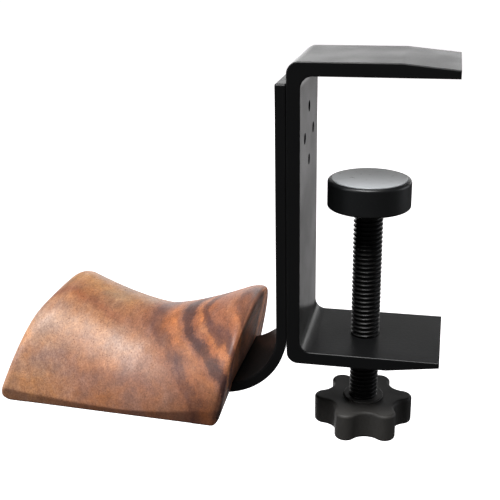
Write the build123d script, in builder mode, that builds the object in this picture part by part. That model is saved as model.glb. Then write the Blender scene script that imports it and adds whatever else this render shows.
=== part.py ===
from build123d import *
import os
from math import sqrt, sin, cos, radians, atan2, pi

# Desk-clamp headphone hook: a C-shaped flat steel bracket with a clamp screw, a flat strap
# bent in a J down its back, and a walnut saddle on the strap's arm.
#
# Frame: origin at the middle of the desk face under the top arm, on the clamp screw's axis.
# +Z is up, +X points to the tips of the two arms, Y runs across the strips.

os.makedirs("parts", exist_ok=True)

# ---------------------------------------------------------------- driving dimensions (mm)
strip_w = 30.0            # width of both bent strips
plate_t = 3.5             # bracket thickness
jaw_h = 73.0              # between the two arms
back_in = -16.0           # inner face of the bracket's back, from the screw axis
back_out = back_in - plate_t
top_tip = 21.5            # tips of the arms
low_tip = 20.5
top_knee = 7.7            # where the arms start to thin
low_knee = 6.9
top_tip_t = 2.1
low_tip_t = 1.6
corner_out = 3.0
corner_in_top = 3.0
corner_in_low = 2.0
edge_r = 0.35             # broken edges of the strips

strap_t = 2.8
strap_top = -1.9
bend_in = 16.1            # inside radius of the J
bend_z = -68.5            # centre of the J
arm_end = -87.0           # free end of the strap's arm, under the saddle
strap_out = back_out - strap_t
bend_x = strap_out - bend_in
bend_out = bend_in + strap_t
arm_top = bend_z - bend_in
arm_low = arm_top - strap_t

pattern_z = -17.0         # centre of the four strap screws
pattern_r = 7.0           # half the diamond's diagonal
m3_r = 1.45               # M3 thread
m3_hole = 1.5
m3_head_r = 2.9
m3_clear = 1.65

m8_crest = 3.94           # M8 x 1.25
m8_root = 3.32
m8_pitch = 1.25
m8_bore = 4.0
head_af = 13.0
head_h = 5.3

knob_top = -92.4
knob_h = 8.0
lobe_reach = 13.7
lobe_r = 3.0
valley_reach = 10.0
knob_phase = 9.0
cap_r = 8.2
cap_t = 1.1

pad_top = -28.6           # metal rim of the pressure pad
pad_h = 7.5
pad_r = 11.0
facing_r = 9.9
facing_t = 1.0
facing_proud = 0.2
tip_r = 2.5
washer_t = 0.55

saddle_w = 53.6
saddle_xr = -35.9         # lower edge of the end beside the strap
saddle_zr = -91.3
saddle_xl = -99.4         # lower edge of the free end
saddle_zl = -88.9
lean_r = 0.205            # both ends lean towards +X as they rise
lean_l = 0.46
skew_r = 0.02             # the end beside the strap is cut a little out of square
h_right, h_waist, h_left = 29.8, 19.25, 24.9       # crown heights above the lower edge
s_right, s_waist, s_left = 4.4, 1.55, 4.1         # side heights
waist_at = 0.444
flare_pow = 2.05
crown_right, crown_waist, crown_left = (2.0, 3.7), (2.0, 2.2), (4.0, 2.0)
crown_cut = 0.93          # the waist's section stops short of the steep part of its curve
arch_z = -85.0            # crown of the hollow underneath
channel_gap = 0.1

wood_screw_r = 1.7
wood_screw_x = (-52.0, -80.0)
wood_screw_len = 12.0

# ---------------------------------------------------------------- clamp bracket
with BuildPart() as clamp_bracket:
    with BuildSketch(Plane.XZ) as profile:
        with BuildLine():
            Polyline(
                (back_out, plate_t),
                (top_knee, plate_t),
                (top_tip, top_tip_t),
                (top_tip, 0),
                (back_in, 0),
                (back_in, -jaw_h),
                (low_tip, -jaw_h),
                (low_tip, -jaw_h - low_tip_t),
                (low_knee, -jaw_h - plate_t),
                (back_out, -jaw_h - plate_t),
                close=True,
            )
        make_face()
        outer = profile.vertices().filter_by(lambda v: v.X < back_out + 0.01)
        fillet(outer, corner_out)
        inner_top = profile.vertices().filter_by(
            lambda v: abs(v.X - back_in) < 0.01 and abs(v.Z) < 0.01
        )
        fillet(inner_top, corner_in_top)
        inner_low = profile.vertices().filter_by(
            lambda v: abs(v.X - back_in) < 0.01 and abs(v.Z + jaw_h) < 0.01
        )
        fillet(inner_low, corner_in_low)
        knees = profile.vertices().filter_by(
            lambda v: abs(v.X - top_knee) < 0.01 or abs(v.X - low_knee) < 0.01
        )
        fillet(knees, 4.0)
    extrude(amount=strip_w / 2, both=True)
    fillet(clamp_bracket.faces().filter_by(Axis.Y).edges(), edge_r)
    # tapped hole for the clamp screw in the lower arm
    with Locations(Plane.XY.offset(-jaw_h)):
        Hole(radius=m8_bore, depth=plate_t + 1)
    # four tapped holes in the back
    with BuildSketch(Plane.YZ.offset(back_in)):
        with Locations((0, pattern_z)):
            with PolarLocations(pattern_r, 4):
                Circle(m3_hole)
    extrude(amount=-(plate_t + 0.5), mode=Mode.SUBTRACT)
clamp_bracket.part.label = "clamp_bracket"
export_step(clamp_bracket.part, "parts/clamp_bracket.step")

# ---------------------------------------------------------------- hook strap
with BuildPart() as hook_strap:
    with BuildSketch(Plane.XZ):
        with BuildLine():
            Line((strap_out, strap_top), (strap_out, bend_z))
            CenterArc((bend_x, bend_z), bend_in, 0, -90)
            Line((bend_x, arm_top), (arm_end, arm_top))
            Line((arm_end, arm_top), (arm_end, arm_low))
            Line((arm_end, arm_low), (bend_x, arm_low))
            CenterArc((bend_x, bend_z), bend_out, -90, 90)
            Line((back_out, bend_z), (back_out, strap_top))
            Line((back_out, strap_top), (strap_out, strap_top))
        make_face()
    extrude(amount=strip_w / 2, both=True)
    arm_corners = hook_strap.edges().filter_by(Axis.Z).group_by(Axis.X)[0]
    fillet(arm_corners, 5.0)
    top_corners = hook_strap.edges().filter_by(Axis.X).group_by(Axis.Z)[-1]
    fillet(top_corners, 0.6)
    fillet(hook_strap.faces().filter_by(Axis.Y).edges(), edge_r)
    # countersunk holes from the back
    with Locations(Plane(origin=(strap_out, 0, pattern_z), x_dir=(0, 1, 0), z_dir=(-1, 0, 0))):
        with PolarLocations(pattern_r, 4):
            CounterSinkHole(
                radius=m3_clear,
                counter_sink_radius=m3_head_r + 0.25,
                depth=strap_t + 0.5,
                counter_sink_angle=90,
            )
    # countersunk holes from below for the wood screws
    for x in wood_screw_x:
        with Locations(Plane(origin=(x, 0, arm_low), x_dir=(1, 0, 0), z_dir=(0, 0, -1))):
            CounterSinkHole(
                radius=1.9, counter_sink_radius=3.72, depth=strap_t + 0.5, counter_sink_angle=90
            )
hook_strap.part.label = "hook_strap"
export_step(hook_strap.part, "parts/hook_strap.step")

# ---------------------------------------------------------------- strap screws, M3 countersunk
m3_len = strap_t + plate_t - 0.6        # the ends stay 0.6 below the bracket's inner face
with BuildPart() as strap_screws:
    for k in range(4):
        y = pattern_r * cos(radians(90 * k))
        z = pattern_z + pattern_r * sin(radians(90 * k))
        screw_plane = Plane(origin=(strap_out, y, z), x_dir=(0, 1, 0), z_dir=(1, 0, 0))
        half_plane = Plane(origin=(strap_out, y, z), x_dir=(0, 1, 0), z_dir=(0, 0, 1))
        with BuildSketch(half_plane):
            with BuildLine():
                # local x is the radius, local -y runs along +X into the bracket
                Polyline(
                    (0, 0),
                    (m3_head_r, 0),
                    (m3_head_r, -0.2),
                    (m3_r, -(0.2 + m3_head_r - m3_r)),
                    (m3_r, -(m3_len - 0.3)),
                    (m3_r - 0.3, -m3_len),
                    (0, -m3_len),
                    close=True,
                )
            make_face()
        revolve(axis=Axis((strap_out, y, z), (1, 0, 0)))
        with BuildSketch(screw_plane):
            RegularPolygon(radius=1.0, side_count=6, major_radius=False)
        extrude(amount=1.2, mode=Mode.SUBTRACT)
strap_screws.part.label = "strap_screws"
export_step(strap_screws.part, "parts/strap_screws.step")


# ---------------------------------------------------------------- saddle
def flare(t, right, waist, left):
    """Height along the saddle: least at the waist, rising to both ends."""
    if t < waist_at:
        return waist + (right - waist) * ((waist_at - t) / waist_at) ** flare_pow
    return waist + (left - waist) * ((t - waist_at) / (1 - waist_at)) ** flare_pow


def crown_shape(t, a):
    """Crown height across the saddle, 1 on the middle line and 0 at the sides: close to a
    circular arc at the waist, squarer at the ends."""
    w = (waist_at - t) / waist_at if t < waist_at else (t - waist_at) / (1 - waist_at)
    w = w**1.5
    end = crown_right if t < waist_at else crown_left
    p = end[0] * w + crown_waist[0] * (1 - w)
    q = end[1] * w + crown_waist[1] * (1 - w)
    cut = crown_cut + (1 - crown_cut) * w
    foot = (1 - cut**p) ** (1 / q) if w < 1 else 0.0
    return (max(0.0, 1 - abs(a * cut) ** p) ** (1 / q) - foot) / (1 - foot)


with BuildPart() as saddle:
    for t in (0.0, 0.22, 0.444, 0.72, 1.0):
        lean = lean_r + (lean_l - lean_r) * t
        grow = sqrt(1 + lean * lean)
        z0 = saddle_zr + (saddle_zl - saddle_zr) * t
        x0 = saddle_xr + (saddle_xl - saddle_xr) * t
        h = flare(t, h_right, h_waist, h_left)
        s = flare(t, s_right, s_waist, s_left)
        half = saddle_w / 2
        crown = []
        for a in (86, 74, 60, 44, 28, 10, -10, -28, -44, -60, -74, -86):
            u = sin(radians(a))
            crown.append((u * half, (s + (h - s) * crown_shape(t, u)) * grow))
        skew = skew_r * (1 - t)
        with BuildSketch(
            Plane(origin=(x0, 0, z0), x_dir=(skew, 1, 0), z_dir=(1, -skew, -lean))
        ):
            with BuildLine():
                Line((-half, 0), (-half, s * grow))
                Spline([(-half, s * grow)] + crown[::-1] + [(half, s * grow)])
                Line((half, s * grow), (half, 0))
                ThreePointArc((half, 0), (0, (arch_z - z0) * grow), (-half, 0))
            make_face()
    loft()
    end_faces = [saddle.faces().sort_by(Axis.X)[0], saddle.faces().sort_by(Axis.X)[-1]]
    fillet(end_faces[0].edges() + end_faces[1].edges(), 1.2)
    # channel that keeps the strap's arm square to the saddle, flared at its mouth
    with BuildSketch(Plane.XZ):
        with BuildLine():
            Polyline(
                (-25, -110),
                (-25, arm_top + 1.6),
                (-34, arm_top + 0.8),
                (bend_x - 0.6, arm_top),
                (arm_end - 0.4, arm_top),
                (arm_end - 0.4, -110),
                close=True,
            )
        make_face()
    extrude(amount=strip_w / 2 + channel_gap, both=True, mode=Mode.SUBTRACT)
    # pilot holes for the wood screws
    for x in wood_screw_x:
        with Locations(Plane(origin=(x, 0, arm_top), x_dir=(1, 0, 0), z_dir=(0, 0, -1))):
            Hole(radius=wood_screw_r + 0.05, depth=wood_screw_len - strap_t + 0.4)
saddle.part.label = "saddle"
export_step(saddle.part, "parts/saddle.step")

# ---------------------------------------------------------------- saddle screws
with BuildPart() as saddle_screws:
    for x in wood_screw_x:
        with BuildSketch(Plane(origin=(x, 0, arm_low), x_dir=(1, 0, 0), z_dir=(0, -1, 0))):
            with BuildLine():
                Polyline(
                    (0, 0),
                    (3.4, 0),
                    (3.4, 0.25),
                    (wood_screw_r, 0.25 + 3.4 - wood_screw_r),
                    (wood_screw_r, wood_screw_len - 3.0),
                    (0.3, wood_screw_len),
                    (0, wood_screw_len),
                    close=True,
                )
            make_face()
        revolve(axis=Axis((x, 0, arm_low), (0, 0, 1)))
        # cross recess
        with BuildSketch(Plane.XY.offset(arm_low)):
            with Locations((x, 0)):
                Rectangle(3.6, 0.8)
                Rectangle(0.8, 3.6)
        extrude(amount=1.3, mode=Mode.SUBTRACT)
saddle_screws.part.label = "saddle_screws"
export_step(saddle_screws.part, "parts/saddle_screws.step")

# ---------------------------------------------------------------- clamp screw
pad_low = pad_top - pad_h
socket_top = pad_low + 2.1            # roof of the socket under the pad
web_top = pad_top - 3.0               # seat of the retainer, inside the pad
shoulder = socket_top - 0.05 - washer_t - 0.05
tip_end = web_top + 1.5
groove_low = web_top + 0.1
groove_high = groove_low + 0.7
head_top = knob_top - 1.6             # bearing face of the hex head inside the knob
head_low = head_top - head_h

thread = []                           # ring grooves at the true pitch
z = head_top + 2.2
while z < shoulder - 1.2:
    thread += [
        (m8_crest, z),
        (m8_root, z + 0.5 * m8_pitch - 0.08),
        (m8_root, z + 0.5 * m8_pitch + 0.08),
        (m8_crest, z + m8_pitch - 0.16),
    ]
    z += m8_pitch
with BuildPart() as clamp_screw:
    with BuildSketch(Plane.XZ):
        with BuildLine():
            Polyline(
                [(0, head_top - 0.5), (m8_crest, head_top - 0.5)]
                + thread
                + [
                    (m8_crest, shoulder - 0.5),
                    (m8_crest - 0.5, shoulder),
                    (tip_r, shoulder),
                    (tip_r, groove_low),
                    (2.0, groove_low),
                    (2.0, groove_high),
                    (tip_r, groove_high),
                    (tip_r, tip_end - 0.3),
                    (tip_r - 0.3, tip_end),
                    (0, tip_end),
                ],
                close=True,
            )
        make_face()
    revolve(axis=Axis.Z)
    with BuildSketch(Plane.XY.offset(head_low)):
        RegularPolygon(radius=head_af / 2, side_count=6, major_radius=False, rotation=knob_phase)
    extrude(amount=head_h)
clamp_screw.part.label = "clamp_screw"
export_step(clamp_screw.part, "parts/clamp_screw.step")

# ---------------------------------------------------------------- star knob
knob_low = knob_top - knob_h
lobe_c = lobe_reach - lobe_r
# valley arcs touch both neighbouring lobe arcs
valley_c = (lobe_c**2 - (lobe_r - valley_reach) ** 2) / (
    2 * (lobe_c * cos(radians(30)) + (lobe_r - valley_reach))
)
valley_r = valley_c - valley_reach


def at(r, a):
    a = radians(a + knob_phase)
    return (r * cos(a), r * sin(a))


tx = lobe_c + lobe_r * (valley_c * cos(radians(30)) - lobe_c) / (lobe_r + valley_r)
ty = lobe_r * valley_c * sin(radians(30)) / (lobe_r + valley_r)
touch_r = sqrt(tx * tx + ty * ty)
touch_a = atan2(ty, tx) * 180 / pi

with BuildPart() as star_knob:
    with BuildSketch(Plane.XY.offset(knob_low)):
        with BuildLine():
            for k in range(6):
                c = 60 * k
                ThreePointArc(at(touch_r, c - touch_a), at(lobe_reach, c), at(touch_r, c + touch_a))
                ThreePointArc(
                    at(touch_r, c + touch_a), at(valley_reach, c + 30), at(touch_r, c + 60 - touch_a)
                )
        make_face()
    extrude(amount=knob_h)
    rims = star_knob.faces().filter_by(Axis.Z).edges()
    fillet(rims, 0.8)
    # low boss round the screw
    with BuildSketch(Plane.XY.offset(knob_top - 0.01)):
        Circle(5.6)
    extrude(amount=0.51)
    fillet(star_knob.edges().filter_by(GeomType.CIRCLE).group_by(Axis.Z)[-1], 0.3)
    # hole for the screw, hex pocket for its head and a round seat for the cap
    with BuildSketch(Plane.XY.offset(knob_low)):
        Circle(m8_crest + 0.04)
    extrude(amount=knob_h + 2, mode=Mode.SUBTRACT)
    with BuildSketch(Plane.XY.offset(knob_low)):
        RegularPolygon(
            radius=head_af / 2 + 0.03, side_count=6, major_radius=False, rotation=knob_phase
        )
    extrude(amount=knob_h - 1.6, mode=Mode.SUBTRACT)
    with BuildSketch(Plane.XY.offset(knob_low)):
        Circle(cap_r)
    extrude(amount=cap_t, mode=Mode.SUBTRACT)
star_knob.part.label = "star_knob"
export_step(star_knob.part, "parts/star_knob.step")

# ---------------------------------------------------------------- knob cap
with BuildPart() as knob_cap:
    with BuildSketch(Plane.XY.offset(knob_low)):
        Circle(cap_r - 0.03)
    extrude(amount=cap_t - 0.05)
    fillet(knob_cap.edges().filter_by(GeomType.CIRCLE).group_by(Axis.Z)[0], 0.3)
knob_cap.part.label = "knob_cap"
export_step(knob_cap.part, "parts/knob_cap.step")

# ---------------------------------------------------------------- pressure pad
with BuildPart() as pressure_pad:
    with BuildSketch(Plane.XY.offset(pad_low)):
        Circle(pad_r)
    extrude(amount=pad_h)
    fillet(pressure_pad.edges().filter_by(GeomType.CIRCLE).group_by(Axis.Z)[-1], 0.8)
    fillet(pressure_pad.edges().filter_by(GeomType.CIRCLE).group_by(Axis.Z)[0], 0.5)
    # seat of the facing
    with BuildSketch(Plane.XY.offset(pad_top)):
        Circle(facing_r + 0.05)
    extrude(amount=-(facing_t - facing_proud), mode=Mode.SUBTRACT)
    # recess of the retainer
    with BuildSketch(Plane.XY.offset(pad_top)):
        Circle(5.5)
    extrude(amount=-(pad_top - web_top), mode=Mode.SUBTRACT)
    # bore for the screw's tip
    with BuildSketch(Plane.XY.offset(pad_top)):
        Circle(tip_r + 0.06)
    extrude(amount=-pad_h, mode=Mode.SUBTRACT)
    # socket for the screw's end and the washer
    with BuildSketch(Plane.XY.offset(pad_low)):
        Circle(m8_crest + 0.36)
    extrude(amount=socket_top - pad_low, mode=Mode.SUBTRACT)
pressure_pad.part.label = "pressure_pad"
export_step(pressure_pad.part, "parts/pressure_pad.step")

# ---------------------------------------------------------------- pad facing
with BuildPart() as pad_facing:
    with BuildSketch(Plane.XY.offset(pad_top - facing_t + facing_proud)):
        Circle(facing_r)
    extrude(amount=facing_t)
    fillet(pad_facing.edges().filter_by(GeomType.CIRCLE).group_by(Axis.Z)[-1], 0.15)
pad_facing.part.label = "pad_facing"
export_step(pad_facing.part, "parts/pad_facing.step")

# ---------------------------------------------------------------- thrust washer
with BuildPart() as thrust_washer:
    with BuildSketch(Plane.XY.offset(shoulder + 0.05)):
        Circle(m8_crest + 0.1)
        Circle(tip_r + 0.06, mode=Mode.SUBTRACT)
    extrude(amount=washer_t)
thrust_washer.part.label = "thrust_washer"
export_step(thrust_washer.part, "parts/thrust_washer.step")

# ---------------------------------------------------------------- pad retainer, a snap ring
with BuildPart() as pad_retainer:
    with BuildSketch(Plane.XY.offset(groove_low + 0.03)):
        Circle(4.6)
        Circle(2.03, mode=Mode.SUBTRACT)
        with Locations((0, -3.0)):
            Rectangle(2.6, 4.0, mode=Mode.SUBTRACT)
    extrude(amount=0.6)
pad_retainer.part.label = "pad_retainer"
export_step(pad_retainer.part, "parts/pad_retainer.step")
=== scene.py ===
import math

import bpy
import bmesh
from mathutils import Matrix, Vector


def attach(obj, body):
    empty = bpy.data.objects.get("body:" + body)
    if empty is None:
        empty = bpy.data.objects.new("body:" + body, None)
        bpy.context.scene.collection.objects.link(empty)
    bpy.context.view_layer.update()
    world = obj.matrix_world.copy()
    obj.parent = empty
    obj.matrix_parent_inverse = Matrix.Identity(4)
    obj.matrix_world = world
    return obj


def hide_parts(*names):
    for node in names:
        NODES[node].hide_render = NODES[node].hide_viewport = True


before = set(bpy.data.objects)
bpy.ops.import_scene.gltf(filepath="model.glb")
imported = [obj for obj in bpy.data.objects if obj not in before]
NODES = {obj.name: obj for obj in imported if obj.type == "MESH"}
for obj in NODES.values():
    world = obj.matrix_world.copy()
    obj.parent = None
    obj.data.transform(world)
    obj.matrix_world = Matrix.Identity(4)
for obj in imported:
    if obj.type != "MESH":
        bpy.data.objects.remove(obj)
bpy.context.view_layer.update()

MM = 0.001


# ------------------------------------------------------------------ small helpers
def new_object(name, verts, faces, material, smooth=True):
    """A mesh object at the origin. verts are in metres, in the row frame."""
    mesh = bpy.data.meshes.new(name)
    mesh.from_pydata([tuple(v) for v in verts], [], faces)
    mesh.validate()
    mesh.update()
    obj = bpy.data.objects.new(name, mesh)
    bpy.context.scene.collection.objects.link(obj)
    if material is not None:
        mesh.materials.append(material)
    if smooth:
        mesh.shade_smooth()
    return obj


def tidy(obj, angle=32.0, merge=1e-6):
    """Merges doubled points, drops faces with no area, turns normals out and keeps edges sharper than angle crisp."""
    bm = bmesh.new()
    bm.from_mesh(obj.data)
    bmesh.ops.remove_doubles(bm, verts=bm.verts, dist=merge)
    bmesh.ops.dissolve_degenerate(bm, edges=bm.edges, dist=merge)
    bmesh.ops.recalc_face_normals(bm, faces=bm.faces)
    limit = math.radians(angle)
    for f in bm.faces:
        f.smooth = True
    for e in bm.edges:
        if len(e.link_faces) == 2:
            e.smooth = e.calc_face_angle(0.0) < limit
    bm.to_mesh(obj.data)
    bm.free()
    obj.data.update()


def cut(obj, cutter):
    """obj less cutter, as a finished mesh."""
    mod = obj.modifiers.new("cut", "BOOLEAN")
    mod.operation = "DIFFERENCE"
    mod.solver = "EXACT"
    mod.object = cutter
    dg = bpy.context.evaluated_depsgraph_get()
    made = bpy.data.meshes.new_from_object(obj.evaluated_get(dg))
    obj.modifiers.clear()
    old = obj.data
    obj.data = made
    made.name = obj.name
    bpy.data.meshes.remove(old)
    gone = cutter.data
    bpy.data.objects.remove(cutter)
    bpy.data.meshes.remove(gone)


# ------------------------------------------------------------------ materials
class Shader:
    """A Principled material with a few shortcuts. mm gives the object's own coordinates in millimetres."""

    def __init__(self, name, **fixed):
        self.material = bpy.data.materials.new(name)
        self.material.use_nodes = True
        self.tree = self.material.node_tree
        self.tree.nodes.clear()
        self.out = self.tree.nodes.new("ShaderNodeOutputMaterial")
        self.bsdf = self.tree.nodes.new("ShaderNodeBsdfPrincipled")
        self.join(self.bsdf.outputs[0], self.out.inputs[0])
        for key, value in fixed.items():
            self.bsdf.inputs[key.replace("_", " ")].default_value = value
        place = self.tree.nodes.new("ShaderNodeTexCoord")
        self.mm = self.vec("SCALE", place.outputs["Object"], scale=1000.0)
        split = self.tree.nodes.new("ShaderNodeSeparateXYZ")
        self.join(self.mm, split.inputs[0])
        self.x, self.y, self.z = split.outputs

    def join(self, a, b):
        self.tree.links.new(a, b)

    def put(self, value, socket):
        if hasattr(value, "is_output"):
            self.join(value, socket)
        else:
            socket.default_value = value

    def math(self, op, a, b=0.0, c=0.0, clamp=False):
        n = self.tree.nodes.new("ShaderNodeMath")
        n.operation, n.use_clamp = op, clamp
        for s, v in zip(n.inputs, (a, b, c)):
            self.put(v, s)
        return n.outputs[0]

    def vec(self, op, a, b=(0, 0, 0), scale=1.0):
        n = self.tree.nodes.new("ShaderNodeVectorMath")
        n.operation = op
        self.put(a, n.inputs[0])
        if op == "SCALE":
            self.put(scale, n.inputs["Scale"])
        else:
            self.put(b, n.inputs[1])
        return n.outputs["Value" if op in ("LENGTH", "DOT_PRODUCT", "DISTANCE") else "Vector"]

    def xyz(self, x, y, z):
        n = self.tree.nodes.new("ShaderNodeCombineXYZ")
        for s, v in zip(n.inputs, (x, y, z)):
            self.put(v, s)
        return n.outputs[0]

    def noise(self, where, scale, detail=2.0, rough=0.5, warp=0.0, colour=False):
        n = self.tree.nodes.new("ShaderNodeTexNoise")
        self.join(where, n.inputs["Vector"])
        for key, v in (("Scale", scale), ("Detail", detail), ("Roughness", rough), ("Distortion", warp)):
            n.inputs[key].default_value = v
        return n.outputs["Color" if colour else 0]

    def cells(self, where, scale, feature="F1", spread=1.0):
        n = self.tree.nodes.new("ShaderNodeTexVoronoi")
        n.feature = feature
        self.join(where, n.inputs["Vector"])
        n.inputs["Scale"].default_value = scale
        n.inputs["Randomness"].default_value = spread
        return n.outputs["Distance"]

    def fit(self, value, a, b, c=0.0, d=1.0, kind="LINEAR"):
        """Maps a..b to c..d."""
        n = self.tree.nodes.new("ShaderNodeMapRange")
        n.interpolation_type = kind
        self.put(value, n.inputs["Value"])
        for key, v in (("From Min", a), ("From Max", b), ("To Min", c), ("To Max", d)):
            n.inputs[key].default_value = v
        return n.outputs[0]

    def ramp(self, value, stops, kind="EASE"):
        n = self.tree.nodes.new("ShaderNodeValToRGB")
        n.color_ramp.interpolation = kind
        while len(n.color_ramp.elements) < len(stops):
            n.color_ramp.elements.new(0.5)
        for e, (at, col) in zip(n.color_ramp.elements, sorted(stops, key=lambda s: s[0])):
            e.position = at
            e.color = (*col, 1.0)
        self.join(value, n.inputs[0])
        return n.outputs[0]

    def mix(self, factor, a, b, kind="MIX"):
        n = self.tree.nodes.new("ShaderNodeMix")
        n.data_type, n.blend_type = "RGBA", kind
        self.put(factor, n.inputs["Factor"])
        for s, v in ((n.inputs["A"], a), (n.inputs["B"], b)):
            pass
        inputs = [s for s in n.inputs if s.type == "RGBA"]
        for s, v in zip(inputs, (a, b)):
            self.put((*v, 1.0) if isinstance(v, tuple) and len(v) == 3 else v, s)
        return [s for s in n.outputs if s.type == "RGBA"][0]

    def bump(self, height, depth_mm, strength=1.0, under=None):
        n = self.tree.nodes.new("ShaderNodeBump")
        n.inputs["Strength"].default_value = strength
        n.inputs["Distance"].default_value = depth_mm * MM
        self.join(height, n.inputs["Height"])
        if under is not None:
            self.join(under, n.inputs["Normal"])
        return n.outputs[0]

    def edge(self, radius_mm, soft=0.35):
        """1 on worn outer edges, 0 on faces: how far the true normal stands from one rounded over radius_mm."""
        n = self.tree.nodes.new("ShaderNodeBevel")
        n.samples = 6
        n.inputs["Radius"].default_value = radius_mm * MM
        g = self.tree.nodes.new("ShaderNodeNewGeometry")
        near = self.vec("DOT_PRODUCT", n.outputs[0], g.outputs["Normal"])
        return self.fit(near, 1.0, 1.0 - soft, 0.0, 1.0)

    def colour(self, value):
        self.put((*value, 1.0) if isinstance(value, tuple) else value, self.bsdf.inputs["Base Color"])

    def rough(self, value):
        self.put(value, self.bsdf.inputs["Roughness"])

    def normal(self, value):
        self.join(value, self.bsdf.inputs["Normal"])


def powder_coat():
    s = Shader("satin_powder_coat", Specular_IOR_Level=0.26, IOR=1.5)
    peel = s.noise(s.mm, 1.15, 3.0, 0.55)
    grit = s.noise(s.mm, 6.0, 2.0, 0.5)
    broad = s.noise(s.mm, 0.09, 2.0, 0.5)
    base = s.mix(s.fit(grit, 0.35, 0.7), (0.0042, 0.0043, 0.0045), (0.0085, 0.0086, 0.0090))
    # a little polish where hands and desks rub the edges
    s.colour(s.mix(s.math("MULTIPLY", s.edge(0.9), s.fit(broad, 0.4, 0.62)), base, (0.02, 0.02, 0.021)))
    s.rough(s.math("ADD", s.fit(broad, 0.3, 0.7, 0.30, 0.36), s.fit(grit, 0.3, 0.7, -0.03, 0.03)))
    s.normal(s.bump(grit, 0.012, 0.55, s.bump(peel, 0.05, 0.5)))
    return s.material


def black_steel(name, base=0.012, rough=0.34):
    s = Shader(name, Metallic=0.55, IOR=1.5)
    blot = s.noise(s.mm, 0.8, 4.0, 0.6)
    fine = s.noise(s.mm, 7.0, 2.0, 0.5)
    worn = s.edge(0.25, 0.3)
    dark = s.mix(s.fit(blot, 0.35, 0.7), (base, base, base * 1.03), (base * 1.9, base * 1.85, base * 1.85))
    s.colour(s.mix(s.math("MULTIPLY", worn, s.fit(blot, 0.4, 0.6)), dark, (0.07, 0.068, 0.066)))
    s.rough(s.fit(blot, 0.3, 0.75, rough - 0.06, rough + 0.1))
    s.normal(s.bump(fine, 0.006, 0.5))
    return s.material


def knob_plastic():
    s = Shader("moulded_black_plastic", Specular_IOR_Level=0.4, IOR=1.5)
    spark = s.cells(s.mm, 4.2)
    grain = s.noise(s.mm, 3.4, 4.0, 0.6)
    broad = s.noise(s.mm, 0.16, 2.0, 0.5)
    s.colour(s.mix(s.fit(grain, 0.3, 0.7), (0.0400, 0.0358, 0.0330), (0.0500, 0.0495, 0.0460)))
    s.rough(s.fit(broad, 0.3, 0.7, 0.52, 0.62))
    s.normal(s.bump(spark, 0.02, 0.35, s.bump(grain, 0.03, 0.5)))
    return s.material


def pad_metal():
    """Turned, then coated: faint lathe lines run round the axis."""
    s = Shader("black_anodised_turned", Specular_IOR_Level=0.5, IOR=1.5)
    r = s.math("POWER", s.math("ADD", s.math("MULTIPLY", s.x, s.x), s.math("MULTIPLY", s.y, s.y)), 0.5)
    lines = s.noise(s.xyz(r, s.z, 0.0), 5.0, 3.0, 0.6)
    fine = s.noise(s.mm, 5.0, 2.0, 0.5)
    s.colour(s.mix(s.fit(fine, 0.35, 0.7), (0.0060, 0.0063, 0.0068), (0.0100, 0.0106, 0.0114)))
    s.rough(s.fit(lines, 0.3, 0.7, 0.33, 0.42))
    s.normal(s.bump(fine, 0.006, 0.4, s.bump(lines, 0.012, 0.5)))
    return s.material


def facing_rubber():
    s = Shader("facing_rubber", Specular_IOR_Level=0.9, IOR=1.5)
    mott = s.noise(s.mm, 0.55, 4.0, 0.6)
    fine = s.noise(s.mm, 5.0, 3.0, 0.6)
    # painted reflection: the pale grey base colour stands in for the bright backdrop mirrored at a grazing angle; the
    # rubber itself is dark
    s.colour(s.mix(s.fit(mott, 0.3, 0.7), (0.40, 0.418, 0.435), (0.47, 0.488, 0.505)))
    s.rough(s.fit(mott, 0.3, 0.7, 0.27, 0.36))
    s.normal(s.bump(fine, 0.02, 0.5, s.bump(mott, 0.05, 0.3)))
    return s.material


def washer_nylon():
    s = Shader("washer_nylon", Subsurface_Weight=0.15, IOR=1.5)
    s.bsdf.inputs["Subsurface Radius"].default_value = (0.0012, 0.0011, 0.0009)
    n = s.noise(s.mm, 2.5, 3.0, 0.5)
    s.colour(s.mix(n, (0.62, 0.60, 0.53), (0.72, 0.70, 0.63)))
    s.rough(s.fit(n, 0.3, 0.7, 0.42, 0.55))
    s.normal(s.bump(n, 0.01, 0.3))
    return s.material


def spring_steel():
    s = Shader("spring_steel", Metallic=1.0)
    r = s.math("POWER", s.math("ADD", s.math("MULTIPLY", s.x, s.x), s.math("MULTIPLY", s.y, s.y)), 0.5)
    n = s.noise(s.xyz(r, s.z, 0.0), 9.0, 3.0, 0.6)
    s.colour(s.mix(n, (0.20, 0.19, 0.18), (0.34, 0.33, 0.31)))
    s.rough(s.fit(n, 0.3, 0.7, 0.26, 0.4))
    s.normal(s.bump(n, 0.004, 0.4))
    return s.material


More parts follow.
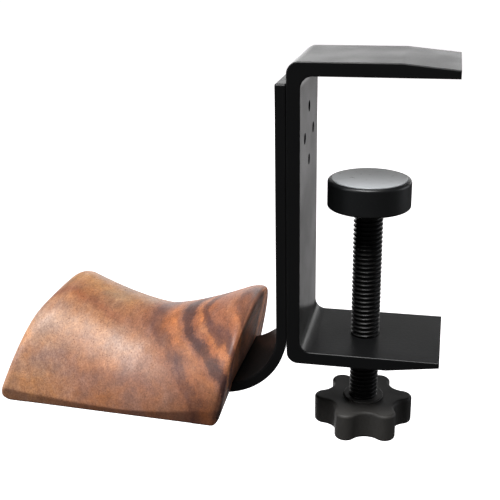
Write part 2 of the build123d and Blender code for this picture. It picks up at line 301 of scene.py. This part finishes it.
def walnut():
    """Oiled walnut. The fibres run across the saddle, along Y. Near the strap the figure stands in
    nested arcs, open towards +X; over the rest it lies in broad soft zones along X."""
    s = Shader("oiled_walnut", Specular_IOR_Level=0.32, IOR=1.48, Coat_Weight=0.06, Coat_Roughness=0.42)
    # slow wander of the figure and fraying of its edges, in millimetres
    long = s.vec("MULTIPLY", s.mm, (1.0, 0.34, 1.0))
    half = (0.5, 0.5, 0.5)
    wander = s.vec("SUBTRACT", s.noise(long, 0.075, 2.0, 0.5, colour=True), half)
    ripple = s.vec("SUBTRACT", s.noise(long, 0.30, 4.0, 0.62, colour=True), half)
    fray = s.vec("SUBTRACT", s.noise(s.vec("MULTIPLY", s.mm, (1.0, 0.5, 1.0)), 1.5, 3.0, 0.7, colour=True), half)
    bent = s.vec("ADD", s.vec("SCALE", wander, scale=9.0), s.vec("SCALE", ripple, scale=3.6))
    bent = s.vec("ADD", bent, s.vec("SCALE", fray, scale=2.6))
    split = s.tree.nodes.new("ShaderNodeSeparateXYZ")
    s.join(bent, split.inputs[0])
    wx, wy, wz = split.outputs
    y2 = s.math("ADD", s.y, 2.0)
    arc = s.math("MULTIPLY", s.math("MULTIPLY", y2, y2), 0.026)
    q = s.math("ADD", s.math("SUBTRACT", s.x, arc), wx)

    # growth figure near the strap, read along q from -72 to -26
    at = lambda v: (v + 72.0) / 46.0
    tan, orange = (0.46, 0.268, 0.155), (0.43, 0.200, 0.098)
    dark = (0.132, 0.070, 0.055)
    figure = s.ramp(
        s.fit(q, -72.0, -26.0),
        [
            (at(-72.0), tan),
            (at(-64.5), (0.35, 0.190, 0.120)),
            (at(-61.2), (0.29, 0.148, 0.096)),
            (at(-59.2), (0.185, 0.098, 0.074)),
            (at(-57.2), (0.22, 0.115, 0.080)),
            (at(-55.6), (0.35, 0.168, 0.095)),
            (at(-53.2), orange),
            (at(-51.4), (0.32, 0.155, 0.094)),
            (at(-50.0), dark),
            (at(-48.1), (0.125, 0.066, 0.053)),
            (at(-46.9), (0.33, 0.150, 0.085)),
            (at(-45.6), orange),
            (at(-44.4), (0.18, 0.090, 0.066)),
            (at(-43.0), (0.155, 0.080, 0.064)),
            (at(-41.0), (0.34, 0.160, 0.095)),
            (at(-38.0), (0.41, 0.195, 0.105)),
            (at(-35.5), (0.23, 0.120, 0.085)),
            (at(-32.0), (0.36, 0.185, 0.120)),
            (at(-27.0), (0.29, 0.150, 0.105)),
        ],
    )
    # broad zones along the saddle, read across it from the near edge to the far one
    yy = s.math("ADD", s.math("ADD", s.y, s.math("MULTIPLY", wy, 1.1)), s.math("MULTIPLY", wz, 0.5))
    up = lambda v: (v + 28.0) / 56.0
    zones = s.ramp(
        s.fit(yy, -28.0, 28.0),
        [
            (up(-28.0), (0.47, 0.250, 0.140)),
            (up(-25.6), (0.47, 0.262, 0.170)),
            (up(-23.0), (0.44, 0.255, 0.185)),
            # the pale band from -20 to -15 mm is partly wood tone and partly painted highlight, where the sheen lies on
            # the near flank
            (up(-20.0), (0.54, 0.325, 0.220)),
            (up(-15.0), (0.59, 0.395, 0.280)),
            (up(-10.5), (0.48, 0.275, 0.165)),
            (up(-6.5), (0.345, 0.170, 0.105)),
            (up(-2.5), (0.41, 0.225, 0.128)),
            (up(4.0), (0.46, 0.290, 0.160)),
            (up(12.0), (0.42, 0.240, 0.130)),
            (up(18.0), (0.28, 0.145, 0.088)),
            (up(23.0), (0.40, 0.210, 0.115)),
            (up(28.0), (0.33, 0.170, 0.102)),
        ],
    )
    # the near flank is darkened towards the strap; towards the end away from the strap it is brightened, a painted pool
    # of light where the sheen spreads over it
    near = s.fit(yy, -13.0, -21.0)
    toward = s.fit(s.math("ADD", s.x, wx), -88.0, -60.0)
    zones = s.mix(s.math("MULTIPLY", near, toward), zones, s.mix(1.0, zones, (0.74, 0.70, 0.70), "MULTIPLY"))
    free = s.math("MULTIPLY", near, s.fit(s.x, -74.0, -88.0))
    zones = s.mix(free, zones, s.mix(1.0, zones, (1.24, 1.36, 1.36), "MULTIPLY"))
    zones = s.mix(1.0, zones, (0.94, 0.94, 0.90), "MULTIPLY")
    share = s.fit(s.math("ADD", q, s.math("MULTIPLY", wz, 1.4)), -70.0, -58.0, kind="SMOOTHSTEP")
    wood = s.mix(share, zones, figure)
    # fine growth lines that follow the figure
    lines = s.noise(s.xyz(q, s.math("MULTIPLY", s.y, 0.05), s.math("MULTIPLY", s.z, 0.12)), 1.3, 3.0, 0.65)
    wood = s.mix(s.fit(lines, 0.36, 0.66, 0.0, 0.42), wood, s.mix(1.0, wood, (0.66, 0.58, 0.56), "MULTIPLY"))
    # mottle and streaks along the fibres
    drift = s.noise(s.vec("MULTIPLY", s.mm, (1.0, 0.5, 1.0)), 0.13, 3.0, 0.6)
    wood = s.mix(s.fit(drift, 0.36, 0.64), s.mix(1.0, wood, (1.10, 0.97, 0.84), "MULTIPLY"), s.mix(1.0, wood, (0.90, 0.95, 1.10), "MULTIPLY"))
    mottle = s.noise(s.vec("MULTIPLY", s.mm, (1.0, 0.55, 1.0)), 0.34, 5.0, 0.68)
    wood = s.mix(s.fit(mottle, 0.38, 0.66), s.mix(1.0, wood, (0.84, 0.79, 0.78), "MULTIPLY"), s.mix(1.0, wood, (1.17, 1.10, 1.04), "MULTIPLY"))
    streak = s.noise(s.vec("MULTIPLY", s.mm, (3.0, 0.22, 3.0)), 1.0, 4.0, 0.62)
    wood = s.mix(s.fit(streak, 0.33, 0.7, 0.0, 0.45), wood, s.mix(1.0, wood, (0.72, 0.64, 0.60), "MULTIPLY"))
    speck = s.noise(s.vec("MULTIPLY", s.mm, (1.0, 0.6, 1.0)), 2.3, 2.0, 0.6)
    wood = s.mix(s.fit(speck, 0.36, 0.64), s.mix(1.0, wood, (0.83, 0.78, 0.76), "MULTIPLY"), s.mix(1.0, wood, (1.12, 1.10, 1.08), "MULTIPLY"))
    # open pores, short dashes along the fibres
    pore_at = s.vec("MULTIPLY", s.vec("ADD", s.mm, s.vec("SCALE", ripple, scale=0.6)), (1.95, 0.62, 1.95))
    pores = s.fit(s.cells(pore_at, 1.0), 0.08, 0.30, 1.0, 0.0)
    few = s.fit(s.noise(s.vec("MULTIPLY", s.mm, (1.0, 0.3, 1.0)), 0.4, 2.0, 0.5), 0.36, 0.58, 0.3, 1.0)
    pores = s.math("MULTIPLY", pores, few)
    wood = s.mix(s.math("MULTIPLY", pores, 0.72), wood, (0.085, 0.042, 0.030))
    # end faces are duller; low down they are darkened, and higher up they are brightened 2.6 times as painted light
    face = s.tree.nodes.new("ShaderNodeNewGeometry")
    parts = s.tree.nodes.new("ShaderNodeSeparateXYZ")
    s.join(face.outputs["Normal"], parts.inputs[0])
    end = s.fit(s.math("ABSOLUTE", parts.outputs[0]), 0.80, 0.95)
    high = s.fit(s.z, -90.0, -78.0)
    wood = s.mix(s.math("MULTIPLY", end, s.math("SUBTRACT", 1.0, high)), wood, s.mix(1.0, wood, (0.84, 0.80, 0.80), "MULTIPLY"))
    wood = s.mix(s.math("MULTIPLY", end, high), wood, s.mix(1.0, wood, (2.6, 2.6, 2.5), "MULTIPLY"))
    # painted shade: the narrow vertical side faces, which face away from the light above, are darkened
    painted_shade_sides = s.fit(parts.outputs[2], 0.30, 0.10)
    painted_shade_sides = s.math("MULTIPLY", painted_shade_sides, s.fit(s.math("ABSOLUTE", parts.outputs[1]), 0.80, 0.92))
    wood = s.mix(s.math("MULTIPLY", painted_shade_sides, 0.85), wood, s.mix(1.0, wood, (0.46, 0.43, 0.44), "MULTIPLY"))
    s.colour(wood)
    satin = s.math("ADD", s.fit(streak, 0.3, 0.7, 0.37, 0.47), s.math("MULTIPLY", pores, 0.25))
    s.rough(s.math("ADD", satin, s.math("MULTIPLY", end, 0.25), clamp=True))
    low = s.math("SUBTRACT", s.math("MULTIPLY", streak, 0.35), pores)
    s.normal(s.bump(low, 0.045, 0.6))
    return s.material


COAT = powder_coat()
WALNUT = walnut()
SCREW = black_steel("black_oxide_screw")
SMALL = black_steel("black_oxide_fixings", 0.010, 0.38)
KNOB = knob_plastic()
PAD = pad_metal()
FACING_PAINTED_REFLECTION = facing_rubber()
WASHER = washer_nylon()
SPRING = spring_steel()

for node, material in (
    ("clamp_bracket", COAT),
    ("hook_strap", COAT),
    ("strap_screws", SMALL),
    ("saddle_screws", SMALL),
    ("star_knob", KNOB),
    ("knob_cap", KNOB),
    ("pressure_pad", PAD),
    ("pad_facing", FACING_PAINTED_REFLECTION),
    ("thrust_washer", WASHER),
    ("pad_retainer", SPRING),
):
    data = NODES[node].data
    data.materials.clear()
    data.materials.append(material)

# ------------------------------------------------------------------ saddle, carved walnut
SADDLE_HALF = 26.8
XR, ZR, XL, ZL = -35.75, -91.2, -99.25, -89.15
LEAN_R, LEAN_L, SKEW_R = 0.20, 0.36, 0.02
H_RIGHT, H_WAIST, H_LEFT = 29.3, 19.45, 27.8
S_RIGHT, S_WAIST, S_LEFT = 4.9, 1.6, 3.6
WAIST_AT, POW_RIGHT, POW_LEFT = 0.436, 1.35, 1.47
CROWN_RIGHT, CROWN_WAIST, CROWN_LEFT = (1.9, 3.67), (2.0, 2.2), (3.6, 1.26)
CUT_RIGHT, CUT_WAIST, CUT_LEFT = 0.995, 0.93, 0.96
ARCH_Z = -85.0
# rounding of the two ends in mm: at the corners, and rolled over along the ridge
RIM_R, ROLL_R, RIM_L, ROLL_L = 1.9, 6.1, 0.9, 9.0
FOOT_R, FOOT_L = 1.3, 4.4


def flare(t, right, waist, left, easing=0.0):
    if t < WAIST_AT:
        return waist + (right - waist) * ((WAIST_AT - t) / WAIST_AT) ** (POW_RIGHT + easing)
    return waist + (left - waist) * ((t - WAIST_AT) / (1 - WAIST_AT)) ** (POW_LEFT + easing)


def drawn(d, r):
    """How far a rounding of radius r draws the surface in, d from the end."""
    return r - math.sqrt(max(0.0, r * r - (r - d) ** 2)) if d < r else 0.0


def roll(a, dr, dl):
    """Inset of the crown at a across, dr and dl mm from the two ends."""
    right = RIM_R + (ROLL_R - RIM_R) * math.exp(-((a / 0.6) ** 4))
    left = RIM_L + (ROLL_L - RIM_L) * math.exp(-((a / 0.8) ** 4))
    return drawn(dr, right) + drawn(dl, left)


def crown_shape(t, a):
    w = (WAIST_AT - t) / WAIST_AT if t < WAIST_AT else (t - WAIST_AT) / (1 - WAIST_AT)
    w = w**1.5
    end = CROWN_RIGHT if t < WAIST_AT else CROWN_LEFT
    p = end[0] * w + CROWN_WAIST[0] * (1 - w)
    q = end[1] * w + CROWN_WAIST[1] * (1 - w)
    k = CUT_WAIST + ((CUT_RIGHT if t < WAIST_AT else CUT_LEFT) - CUT_WAIST) * w
    foot = (1 - k**p) ** (1 / q)
    return (max(0.0, 1 - abs(a * k) ** p) ** (1 / q) - foot) / (1 - foot)


def outline(t, dr, dl, lift):
    """Closed section at t, as (across, up) in mm, its crown and sides drawn in near the ends and its underside
    raised by lift: the underside run and the crown run."""
    lean = LEAN_R + (LEAN_L - LEAN_R) * t
    grow = math.sqrt(1 + lean * lean)
    z0 = ZR + (ZL - ZR) * t
    h = flare(t, H_RIGHT, H_WAIST, H_LEFT)
    side = flare(t, S_RIGHT, S_WAIST, S_LEFT, 0.3)
    half = SADDLE_HALF
    n = 480
    across = [math.sin(math.pi * (i / n - 0.5)) for i in range(n + 1)]
    crown = [(a * half, (side + (h - side) * crown_shape(t, a)) * grow) for a in across]
    half -= roll(1.0, dr, dl)
    if dr < ROLL_R or dl < ROLL_L:
        moved = []
        for i, (u, v) in enumerate(crown):
            u0, v0 = crown[max(0, i - 1)]
            u1, v1 = crown[min(n, i + 1)]
            du, dv = u1 - u0, v1 - v0
            size = math.hypot(du, dv) or 1.0
            inset = roll(across[i], dr, dl)
            moved.append((u + dv / size * inset, v - du / size * inset))
        crown = [(max(-half, min(half, u)), v) for u, v in moved]
    rise = (ARCH_Z - z0) * grow
    full = SADDLE_HALF
    radius = (full * full + rise * rise) / (2 * rise)
    under = []
    for i in range(241):
        u = half - 2 * half * i / 240
        under.append((u, rise - radius + math.sqrt(radius * radius - u * u) + lift))
    return under, crown


def rounded(under, crown, window):
    """One closed loop of evenly spaced points with its corners rounded, and the corners' places along it."""
    loop = [under[0]]
    corners = []

    def run(points):
        for p in points:
            if math.hypot(p[0] - loop[-1][0], p[1] - loop[-1][1]) > 1e-6:
                loop.append(p)
        corners.append(len(loop) - 1)

    run(under[1:])
    run([crown[0]])
    run(crown[1:])
    run([under[0]])
    length = [0.0]
    for a, b in zip(loop, loop[1:]):
        length.append(length[-1] + math.hypot(b[0] - a[0], b[1] - a[1]))
    total = length[-1]
    marks = [0.0] + [length[c] for c in corners]
    n = 1400
    even, k = [], 0
    for i in range(n):
        s = total * i / n
        while length[k + 1] < s:
            k += 1
        f = (s - length[k]) / (length[k + 1] - length[k])
        even.append(
            (loop[k][0] + f * (loop[k + 1][0] - loop[k][0]), loop[k][1] + f * (loop[k + 1][1] - loop[k][1]))
        )
    reach = max(1, round(window / (total / n) / 2))
    for _ in range(2):
        su = sum(even[j % n][0] for j in range(-reach, reach + 1))
        sv = sum(even[j % n][1] for j in range(-reach, reach + 1))
        smooth = []
        for i in range(n):
            smooth.append((su / (2 * reach + 1), sv / (2 * reach + 1)))
            out, into = even[(i - reach) % n], even[(i + reach + 1) % n]
            su += into[0] - out[0]
            sv += into[1] - out[1]
        even = smooth
    return even, marks, total


COUNTS = (44, 6, 110, 6)  # points along the underside, near side, crown and far side
CORNER = 1.1  # mm either side of a corner that takes closer points


def ring(t, dr, dl, lift, window):
    """The section's points at the same places on every section."""
    even, marks, total = rounded(*outline(t, dr, dl, lift), window)
    n = len(even)
    places = []
    for k in range(4):
        a, b = marks[k], marks[k + 1]
        c = min(CORNER, (b - a) * 0.35)
        places += [a + c * i / 4 for i in range(4)]
        places += [a + c + (b - a - 2 * c) * i / COUNTS[k] for i in range(COUNTS[k])]
        places += [b - c + c * i / 4 for i in range(4)]
    out = []
    for s in places:
        f = (s / total * n) % n
        i = int(f)
        f -= i
        p, r = even[i], even[(i + 1) % n]
        out.append((p[0] + f * (r[0] - p[0]), p[1] + f * (r[1] - p[1])))
    return out


def saddle_point(t, u, v):
    lean, skew = LEAN_R + (LEAN_L - LEAN_R) * t, SKEW_R * (1 - t)
    across = Vector((skew, 1.0, 0.0)).normalized()
    along = Vector((1.0, -skew, -lean)).normalized()
    up = along.cross(across)
    origin = Vector((XR + (XL - XR) * t, 0.0, ZR + (ZL - ZR) * t))
    return (origin + across * u + up * v) * MM


def make_saddle():
    long = XR - XL
    near = [0.0, 0.03, 0.1, 0.2, 0.35, 0.55, 0.8, 1.1, 1.45, 1.9, 2.4, 3.0, 3.7, 4.5, 5.3, 6.2]
    far = [9.0, 8.2, 7.4, 6.6, 5.8, 5.1, 4.5, 3.9, 3.3, 2.8, 2.3, 1.85, 1.45, 1.1, 0.8, 0.55, 0.35, 0.2, 0.1, 0.03, 0.0]
    inner = 84
    a, b = 6.2, long - 9.0
    places = near + [a + (b - a) * i / inner for i in range(1, inner)] + [long - d for d in far]

    verts, faces, size = [], [], 0
    for d in places:
        dr, dl = d, long - d
        lift = max(drawn(dr, FOOT_R), drawn(dl, FOOT_L) * 0.8)
        points = ring(d / long, dr, dl, lift, 0.5)
        size = len(points)
        verts += [saddle_point(d / long, u, v) for u, v in points]
    sections = places
    rows = len(sections)
    for r in range(rows - 1):
        for i in range(size):
            j = (i + 1) % size
            faces.append((r * size + i, r * size + j, (r + 1) * size + j, (r + 1) * size + i))
    # each end is closed by strips from the underside up to the crown
    n_under, n_side = COUNTS[0] + 8, COUNTS[1] + 8
    n_crown = COUNTS[2] + 8
    for row, flip in ((0, False), (rows - 1, True)):
        base = row * size
        low = [base + i for i in range(n_under + 1)]  # far corner to near corner
        top = [base + n_under + n_side + i for i in range(n_crown + 1)]  # near crown corner to far
        near = [base + n_under + i for i in range(n_side + 1)]
        far = [base + (n_under + n_side + n_crown + i) % size for i in range(n_side + 1)]
        low = low[::-1]  # now near to far, as the crown
        cap = []
        # pair points across by how far along they are
        i = j = 0
        left = near + [top[1], low[1]]
        cap.append(tuple([low[0]] + near[1:] + [top[1], low[1]]))
        i, j = 1, 1
        last_i, last_j = n_crown - 1, n_under - 1
        while i < last_i or j < last_j:
            step_top = (verts[top[min(i + 1, last_i)]].y, i < last_i)
            step_low = (verts[low[min(j + 1, last_j)]].y, j < last_j)
            if step_top[1] and (not step_low[1] or step_top[0] <= step_low[0]):
                cap.append((top[i], top[i + 1], low[j]))
                i += 1
            else:
                cap.append((top[i], low[j + 1], low[j]))
                j += 1
        cap.append(tuple([top[last_i]] + far + [low[last_j]]))
        faces += [tuple(reversed(f)) if flip else f for f in cap]
    body = new_object("saddle_carved", verts, faces, WALNUT)
    tidy(body, 40.0, 2e-7)

    # the strap's channel and the screws' pilot holes
    profile = [(-25.0, -110.0), (-25.0, -83.0), (-34.0, -83.8), (-39.0, -84.6), (-87.4, -84.6), (-87.4, -110.0)]
    w = 15.1
    cv = [Vector((x, -w, z)) * MM for x, z in profile] + [Vector((x, w, z)) * MM for x, z in profile]
    k = len(profile)
    cf = [tuple(range(k)), tuple(range(2 * k - 1, k - 1, -1))]
    cf += [(i, i + k, (i + 1) % k + k, (i + 1) % k) for i in range(k)]
    channel = new_object("channel", cv, cf, None, smooth=False)
    tidy(channel, 10)
    cut(body, channel)
    for x in (-52.0, -80.0):
        n = 32
        pv = []
        for z, r in ((-86.0, 1.75), (-75.4, 1.75), (-75.0, 0.4)):
            pv += [
                Vector((x + r * math.cos(2 * math.pi * i / n), r * math.sin(2 * math.pi * i / n), z)) * MM
                for i in range(n)
            ]
        pf = [tuple(range(n - 1, -1, -1)), tuple(2 * n + i for i in range(n))]
        for lvl in (0, 1):
            pf += [
                (lvl * n + i, lvl * n + (i + 1) % n, (lvl + 1) * n + (i + 1) % n, (lvl + 1) * n + i) for i in range(n)
            ]
        pilot = new_object("pilot", pv, pf, None, smooth=False)
        tidy(pilot, 10)
        cut(body, pilot)
    tidy(body, 38.0, 2e-7)
    return body


saddle = make_saddle()
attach(saddle, "frame")
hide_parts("saddle")


# ------------------------------------------------------------------ clamp screw with a true helix
def make_screw():
    pitch, crest, root = 1.25, 3.94, 3.30
    low, high = -94.0, -34.65  # underside bearing of the head, and the shoulder
    run_low, run_high = -92.6, -35.6
    n = 96
    # one pitch of the profile: (share of the pitch, depth share)
    profile = [
        (0.00, 0.0),
        (0.065, 0.0),
        (0.105, 0.05),
        (0.165, 0.22),
        (0.25, 0.47),
        (0.34, 0.75),
        (0.40, 0.93),
        (0.45, 1.0),
        (0.54, 1.0),
        (0.59, 0.93),
        (0.65, 0.75),
        (0.74, 0.47),
        (0.825, 0.22),
        (0.885, 0.05),
        (0.925, 0.0),
    ]
    m = len(profile)
    turns = int((high - low) / pitch) + 3
    start = low - 1.5 * pitch
    verts, faces = [], []
    for k in range(turns * m + 1):
        for i in range(n):
            share, depth = profile[k % m]
            z = start + pitch * (k // m + share + i / n)
            z = max(low, min(high, z))
            # the thread runs out over most of a turn at each end
            fade = max(0.0, min(1.0, (z - run_low) / 1.1)) * max(0.0, min(1.0, (run_high + 0.9 - z) / 0.5))
            r = crest - (crest - root) * depth * fade
            r = min(r, crest - max(0.0, z - (high - 0.5)))
            a = 2 * math.pi * i / n
            verts.append(Vector((r * math.cos(a), r * math.sin(a), z)) * MM)
    total = turns * m + 1
    for k in range(total - 1):
        for i in range(n):
            if i < n - 1:
                q = (k * n + i, k * n + i + 1, (k + 1) * n + i + 1, (k + 1) * n + i)
            else:
                if k + m + 1 > total - 1:
                    continue
                q = (k * n + i, (k + m) * n, (k + m + 1) * n, (k + 1) * n + i)
            zs = [verts[v].z for v in q]
            if max(zs) - min(zs) < 1e-9:
                continue
            faces.append(q)
    # tip: shoulder, journal, groove for the retainer, chamfered end
    head_ring = [(3.94, -94.0)]
    rings = []

    def add_ring(fn, z):
        first = len(verts)
        for i in range(n):
            a = 2 * math.pi * i / n
            r = fn(a)
            verts.append(Vector((r * math.cos(a), r * math.sin(a), z)) * MM)
        return first

    def join(a, b):
        for i in range(n):
            j = (i + 1) % n
            faces.append((a + i, a + j, b + j, b + i))

    last = add_ring(lambda a: crest - 0.5, high)
    for r, z in (
        (2.62, -34.65),
        (2.5, -34.55),
        (2.5, -31.55),
        (2.45, -31.5),
        (2.0, -31.5),
        (2.0, -30.8),
        (2.45, -30.8),
        (2.5, -30.75),
        (2.5, -30.4),
        (2.42, -30.2),
        (2.2, -30.1),
        (0.6, -30.1),
    ):
        now = add_ring(lambda a, r=r: r, z)
        join(last, now)
        last = now
    top_centre = len(verts)
    verts.append(Vector((0, 0, -30.1)) * MM)
    for i in range(n):
        faces.append((last + i, last + (i + 1) % n, top_centre))

    # hexagonal head, 13 across flats, its corners chamfered top and bottom
    phase = math.radians(9.0)

    def hexed(af, cap=99.0):
        def fn(a):
            b = (a - phase) % (math.pi / 3) - math.pi / 6
            return min(af / 2 / math.cos(b), cap)

        return fn

    last = add_ring(lambda a: crest, low)
    for fn, z in (
        (lambda a: 4.5, -94.0),
        (lambda a: 6.3, -94.0),
        (hexed(13.0, 6.75), -94.25),
        (hexed(13.0, 7.3), -94.6),
        (hexed(13.0), -94.9),
        (hexed(13.0), -98.4),
        (hexed(13.0, 7.3), -98.7),
        (hexed(13.0, 6.75), -99.05),
        (lambda a: 6.3, -99.3),
        (lambda a: 2.0, -99.3),
    ):
        now = add_ring(fn, z)
        join(last, now)
        last = now
    low_centre = len(verts)
    verts.append(Vector((0, 0, -99.3)) * MM)
    for i in range(n):
        faces.append((last + i, last + (i + 1) % n, low_centre))
    screw = new_object("clamp_screw_threaded", verts, faces, SCREW)
    tidy(screw, 38.0, 4e-6)
    return screw


screw = make_screw()
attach(screw, "screw")
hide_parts("clamp_screw")

# ------------------------------------------------------------------ camera
cam_data = bpy.data.cameras.new("camera")
cam_data.sensor_fit = "HORIZONTAL"
cam_data.sensor_width = 36.0
cam_data.lens = 903.0654 / 500.0 * 36.0
cam_data.clip_start, cam_data.clip_end = 0.01, 50.0
camera = bpy.data.objects.new("camera", cam_data)
camera.matrix_world = Matrix(
    (
        (0.9770330, -0.0588443, 0.2048021, 0.0187940),
        (0.2124431, 0.3437123, -0.9147293, -0.2282069),
        (-0.0165664, 0.9372295, 0.3483193, 0.0363628),
        (0.0, 0.0, 0.0, 1.0),
    )
)
bpy.context.scene.collection.objects.link(camera)
bpy.context.scene.camera = camera


# ------------------------------------------------------------------ stage and light
def stage_material(name, value, rough=0.9):
    s = Shader(name, Specular_IOR_Level=0.1)
    s.colour(s.mix(s.noise(s.mm, 0.004, 2.0, 0.5), (value,) * 3, (value * 0.985,) * 3))
    s.rough(rough)
    return s.material


FLOOR_Z = -0.46
WHITE = (1.0, 0.973, 0.982)
PAPER = stage_material("stage_paper", 0.86)
PAPER.node_tree.nodes["Principled BSDF"].inputs["Emission Color"].default_value = (*WHITE, 1.0)
PAPER.node_tree.nodes["Principled BSDF"].inputs["Emission Strength"].default_value = 1.0
fv = [(-5.0, 0.3, FLOOR_Z), (0.01, 0.3, FLOOR_Z), (1.68, 8.0, FLOOR_Z), (-5.0, 8.0, FLOOR_Z)]
floor = new_object("floor", fv, [(0, 1, 2, 3)], PAPER)


def area(name, place, target, size, power, size_y=None, colour=(1, 1, 1)):
    data = bpy.data.lights.new(name, "AREA")
    data.shape = "RECTANGLE" if size_y else "SQUARE"
    data.size = size
    if size_y:
        data.size_y = size_y
    data.energy = power
    data.color = colour
    obj = bpy.data.objects.new(name, data)
    obj.location = place
    obj.rotation_mode = "QUATERNION"
    obj.rotation_quaternion = (Vector(target) - Vector(place)).to_track_quat("-Z", "Y")
    bpy.context.scene.collection.objects.link(obj)
    return obj


# low bank behind: the level faces mirror it at grazing angles
area("bank", (0.1, 2.4, 0.19), (0.0, 0.0, -0.02), 2.6, 13.2, 0.60)
# overhead softbox
area("top", (-0.16, -0.36, 1.0), (-0.05, -0.01, -0.06), 0.62, 20.5)
# cool low light from the left, for the rim beside the strap
area("left", (-0.95, -0.40, 0.38), (-0.05, 0.0, -0.08), 0.4, 4.0, colour=(0.93, 0.96, 1.0))
# soft panel right and behind
area("right", (1.25, 0.5, 0.12), (0.0, 0.0, -0.05), 0.8, 3.6, colour=(0.92, 0.95, 1.0))

world = bpy.data.worlds.new("studio")
bpy.context.scene.world = world
world.use_nodes = True
wt = world.node_tree
wt.nodes.clear()
wout = wt.nodes.new("ShaderNodeOutputWorld")
seen = wt.nodes.new("ShaderNodeBackground")
seen.inputs["Color"].default_value = (*WHITE, 1.0)
seen.inputs["Strength"].default_value = 1.1
fill = wt.nodes.new("ShaderNodeBackground")
fill.inputs["Color"].default_value = (1.0, 1.0, 1.0, 1.0)
fill.inputs["Strength"].default_value = 0.065
ray = wt.nodes.new("ShaderNodeLightPath")
pick = wt.nodes.new("ShaderNodeMixShader")
wt.links.new(ray.outputs["Is Camera Ray"], pick.inputs[0])
wt.links.new(fill.outputs[0], pick.inputs[1])
wt.links.new(seen.outputs[0], pick.inputs[2])
wt.links.new(pick.outputs[0], wout.inputs[0])

scene = bpy.context.scene
scene.view_settings.view_transform = "Standard"
scene.view_settings.look = "None"
scene.view_settings.exposure = 0.0
scene.view_settings.gamma = 1.0
